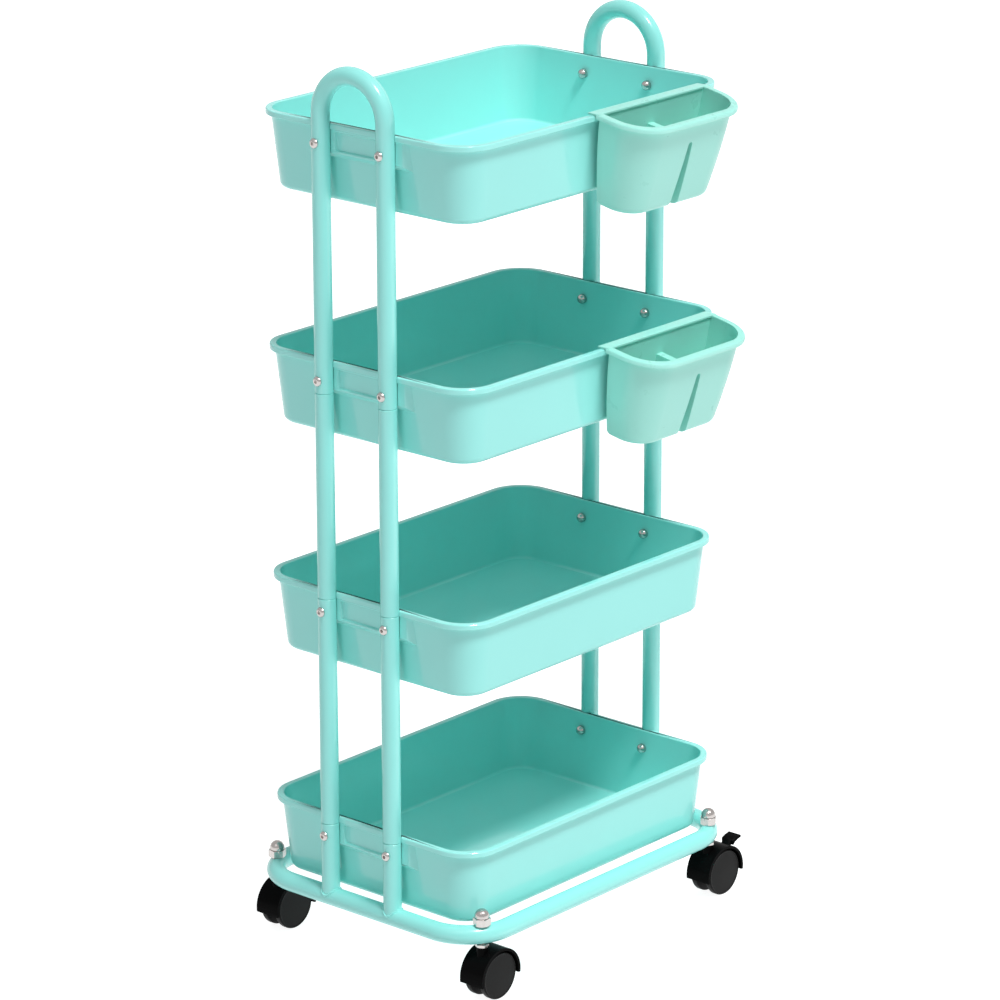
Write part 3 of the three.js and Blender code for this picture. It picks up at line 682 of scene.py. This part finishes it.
def cap_nut_mesh():
    """Hexagon nut with a domed cap, its seat at z = 0."""
    hexagon = hexagon_nut(CAP_CORNER, 0, CAP_FLAT)
    turns = [math.radians(a) for a in range(0, 90, 9)]
    dome = [(CAP_DOME * math.cos(t), CAP_DOME_Z + CAP_DOME * math.sin(t)) for t in turns]
    cap = mesh_of([lathe([(0, 2), (7.2, 2), (7.2, 8.2), (7.5, 8.6), *dome, (0, CAP_TOP)], 60)])
    bore = mesh_of([rod(NUT_BORE, -1, 11, 32)])
    return softened(joined(joined(hexagon, cap, "UNION"), bore, "DIFFERENCE"), 0.25)


def stem_mesh():
    """Threaded stem with its jam nut under the ring."""
    top = RING_Z + RING_R + STEM_ABOVE_RING
    thread = []
    z = THREAD_START
    while z < top - THREAD_PITCH:
        thread += [(THREAD_R, z), (THREAD_ROOT, z + 0.4), (THREAD_R, z + 0.8)]
        z += THREAD_PITCH
    threaded = mesh_of([lathe([
        (0, STEM_FOOT), (THREAD_ROOT, STEM_FOOT), (THREAD_R, 42.2), *thread, (3.4, top), (0, top)], 32)])
    jam = hexagon_nut(JAM_NUT_CORNER, RING_Z - RING_R - JAM_NUT_HEIGHT, RING_Z - RING_R - GAP, 0.5)
    return joined(jam, threaded, "UNION")


def lever_mesh():
    """Foot lever: a narrow arm on its barrel, with a wider blade where it leaves the hood."""
    profile = [
        (-2, 2.4), (5, 8.7), (9, 12.6), (14.5, 14.7), (21.5, 16), (22.3, 13.8), (16.5, 12.4), (12, 10.6),
        (9, 7.8), (2.4, -2)]
    outside = mesh_of([box_part((21.5, -9, 0), (43, 9, 43))])
    blade = joined(lever_slab(profile, BLADE_HALF), outside, "INTERSECT")
    shape = joined(lever_slab(profile, LEVER_HALF), blade, "UNION")
    shape = joined(shape, lever_rod(LEVER_BARREL, LEVER_HALF), "UNION")
    return softened(shape, 0.6, 3)


hoods = {braked: hood_mesh(braked) for braked in (False, True)}
wheel, cap_nut, stem, lever = wheel_mesh(), cap_nut_mesh(), stem_mesh(), lever_mesh()
for end, side, sx, sy in CORNERS:
    name = f"{end}_{side}"
    x, y = sx * CASTER_X, sy * CASTER_Y
    tightened = (math.radians(17 * sx + 40 * sy), "Z")
    piece(
        f"dome_nut_{name}", cap_nut, at(x, y, RING_Z + RING_R + GAP, tightened), STEEL_MAT, "frame",
        [f"cap_nut_{name}"])
    piece(
        f"threaded_stem_{name}", stem, at(x, y, 0, tightened), STEEL_MAT, "frame", [f"stem_{name}"])
    axle = at(x + TRAIL, y, WHEEL_R)
    piece(
        f"hood_{name}", hoods[name in BRAKED], axle, HOOD_MAT, f"caster_{name}", [f"caster_hood_{name}"])
    for which, sw in SIDES.items():
        wheel_place = at(x + TRAIL, y, WHEEL_R, (-sw * math.pi / 2, "X"))
        piece(
            f"wheel_disc_{which}_{name}", wheel, wheel_place, WHEEL_MAT, f"wheel_{which}_{name}",
            [f"wheel_{which}_{name}"])
    if name in BRAKED:
        piece(
            f"foot_lever_{name}", lever, axle, HOOD_MAT, f"brake_{name}", [f"brake_lever_{name}"])
    axle_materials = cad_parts[f"caster_axle_{name}"].data.materials
    axle_materials.clear()
    axle_materials.append(STEEL_MAT)

# ---- floor, light and camera ---------------------------------------------------------------------

# The world's soft light, as pairs of the sine of a height above the horizon and a strength there.
LIGHT_BY_HEIGHT = ((-0.4, 0.9), (-0.1, 0.06), (0.35, 0.08), (1.0, 0.55))
ROOM_LIGHT, BACKDROP_LIGHT, FLOOR_GLOW = 0.9, 1.2, 0.93
FLOOR_R, FLOOR_THICK = 30000, 2

# Each lamp's azimuth, height above the horizon, strength and angular size, with angles in degrees.
LAMPS = {
    "key": (-10, 62, 2.45, 14),
    "fill": (-75, 50, 0.2, 30),
    "front_bounce": (30, -12, 0.68, 24),
    "left_bounce": (-80, -12, 0.3, 24),
}

# Where the camera looks from, in degrees, and the point that it looks at: off the cart's axis, and up.
CAMERA_AZIMUTH, CAMERA_HEIGHT, CAMERA_ROLL = -49.0113058, 17.6967709, -0.139414493
CAMERA_ASIDE, CAMERA_UP = 6.654206, 462.445
CAMERA_DISTANCE = 4981.16364
CAMERA_LENS, CAMERA_SENSOR = 171.9479, 36


def floor():
    """Wide pale floor. The low lamps shine through it, and it throws no light on the cart."""
    part = loft([circle(FLOOR_R, -FLOOR_THICK, 96), circle(FLOOR_R, 0, 96)])
    glow = {"Specular IOR Level": 0.1, "Emission Color": (1, 1, 1, 1), "Emission Strength": FLOOR_GLOW}
    material = shade(
        "studio_floor", (0.4, 0.4, 0.4), (0.42, 0.42, 0.42), 0.75, glow, cloud=0.5, mottle=0.004, speck=0.02,
        edge_wear_and_highlight=0.0, bump=0.02)
    data = mesh_of([part], "studio_floor")
    data.transform(Matrix.Scale(MM, 4))
    data.materials.append(material)
    made = bpy.data.objects.new("studio_floor", data)
    bpy.context.collection.objects.link(made)
    made.visible_diffuse = False
    made.visible_shadow = False


def direction(azimuth, height):
    """Unit vector towards an azimuth, where 0 is the cart's front and 90 its right end."""
    return Vector((
        math.sin(azimuth) * math.cos(height), -math.cos(azimuth) * math.cos(height), math.sin(height)))


def lamp(name, azimuth, height, strength, angle):
    """Distant soft lamp, from below the horizon where its height is negative."""
    light = bpy.data.lights.new(name, "SUN")
    light.energy = strength
    light.angle = math.radians(angle)
    made = bpy.data.objects.new(name, light)
    made.rotation_mode = "QUATERNION"
    towards = direction(math.radians(azimuth), math.radians(height))
    made.rotation_quaternion = towards.to_track_quat("Z", "Y")
    bpy.context.collection.objects.link(made)


def studio():
    """Soft light by height, brightest from below, with an even room in reflections and white behind."""
    world = bpy.data.worlds.new("studio")
    bpy.context.scene.world = world
    world.use_nodes = True
    nodes, links = world.node_tree.nodes, world.node_tree.links
    soft = nodes["Background"]
    axes = nodes.new("ShaderNodeSeparateXYZ")
    links.new(nodes.new("ShaderNodeTexCoord").outputs["Generated"], axes.inputs["Vector"])
    height = nodes.new("ShaderNodeMapRange")
    height.inputs["From Min"].default_value = -1
    links.new(axes.outputs["Z"], height.inputs["Value"])
    strengths = nodes.new("ShaderNodeValToRGB")
    stops = strengths.color_ramp.elements
    for _ in range(len(LIGHT_BY_HEIGHT) - len(stops)):
        stops.new(1)
    for stop, (place, light) in zip(stops, LIGHT_BY_HEIGHT):
        stop.position = (place + 1) / 2
        stop.color = (light, light, light, 1)
    links.new(height.outputs["Result"], strengths.inputs["Fac"])
    links.new(strengths.outputs["Color"], soft.inputs["Strength"])
    soft.inputs["Color"].default_value = (1, 1, 1, 1)
    path = nodes.new("ShaderNodeLightPath")
    last = soft
    for ray, strength in (("Is Glossy Ray", ROOM_LIGHT), ("Is Camera Ray", BACKDROP_LIGHT)):
        seen = nodes.new("ShaderNodeBackground")
        seen.inputs["Strength"].default_value = strength
        choice = nodes.new("ShaderNodeMixShader")
        links.new(path.outputs[ray], choice.inputs["Fac"])
        links.new(last.outputs[0], choice.inputs[1])
        links.new(seen.outputs["Background"], choice.inputs[2])
        last = choice
    links.new(last.outputs["Shader"], nodes["World Output"].inputs["Surface"])


def camera():
    azimuth, height, roll = (math.radians(v) for v in (CAMERA_AZIMUTH, CAMERA_HEIGHT, CAMERA_ROLL))
    back = direction(azimuth, height)
    right = Vector((math.cos(azimuth), math.sin(azimuth), 0))
    up = back.cross(right)
    aim = (right * CAMERA_ASIDE + Vector((0, 0, CAMERA_UP))) * MM + MIDDLE
    across = right * math.cos(roll) + up * math.sin(roll)
    upward = up * math.cos(roll) - right * math.sin(roll)
    data = bpy.data.cameras.new("camera")
    data.sensor_width = CAMERA_SENSOR
    data.lens = CAMERA_LENS
    data.clip_start, data.clip_end = 0.1, 200
    made = bpy.data.objects.new("camera", data)
    turn = Matrix((across, upward, back)).transposed().to_4x4()
    made.matrix_world = Matrix.Translation(aim + back * (CAMERA_DISTANCE * MM)) @ turn
    bpy.context.collection.objects.link(made)
    bpy.context.scene.camera = made


floor()
studio()
for name, settings in LAMPS.items():
    lamp(name, *settings)
camera()
bpy.context.scene.view_settings.view_transform = "Standard"

for mesh in [m for m in bpy.data.meshes if m.users == 0]:
    bpy.data.meshes.remove(mesh)
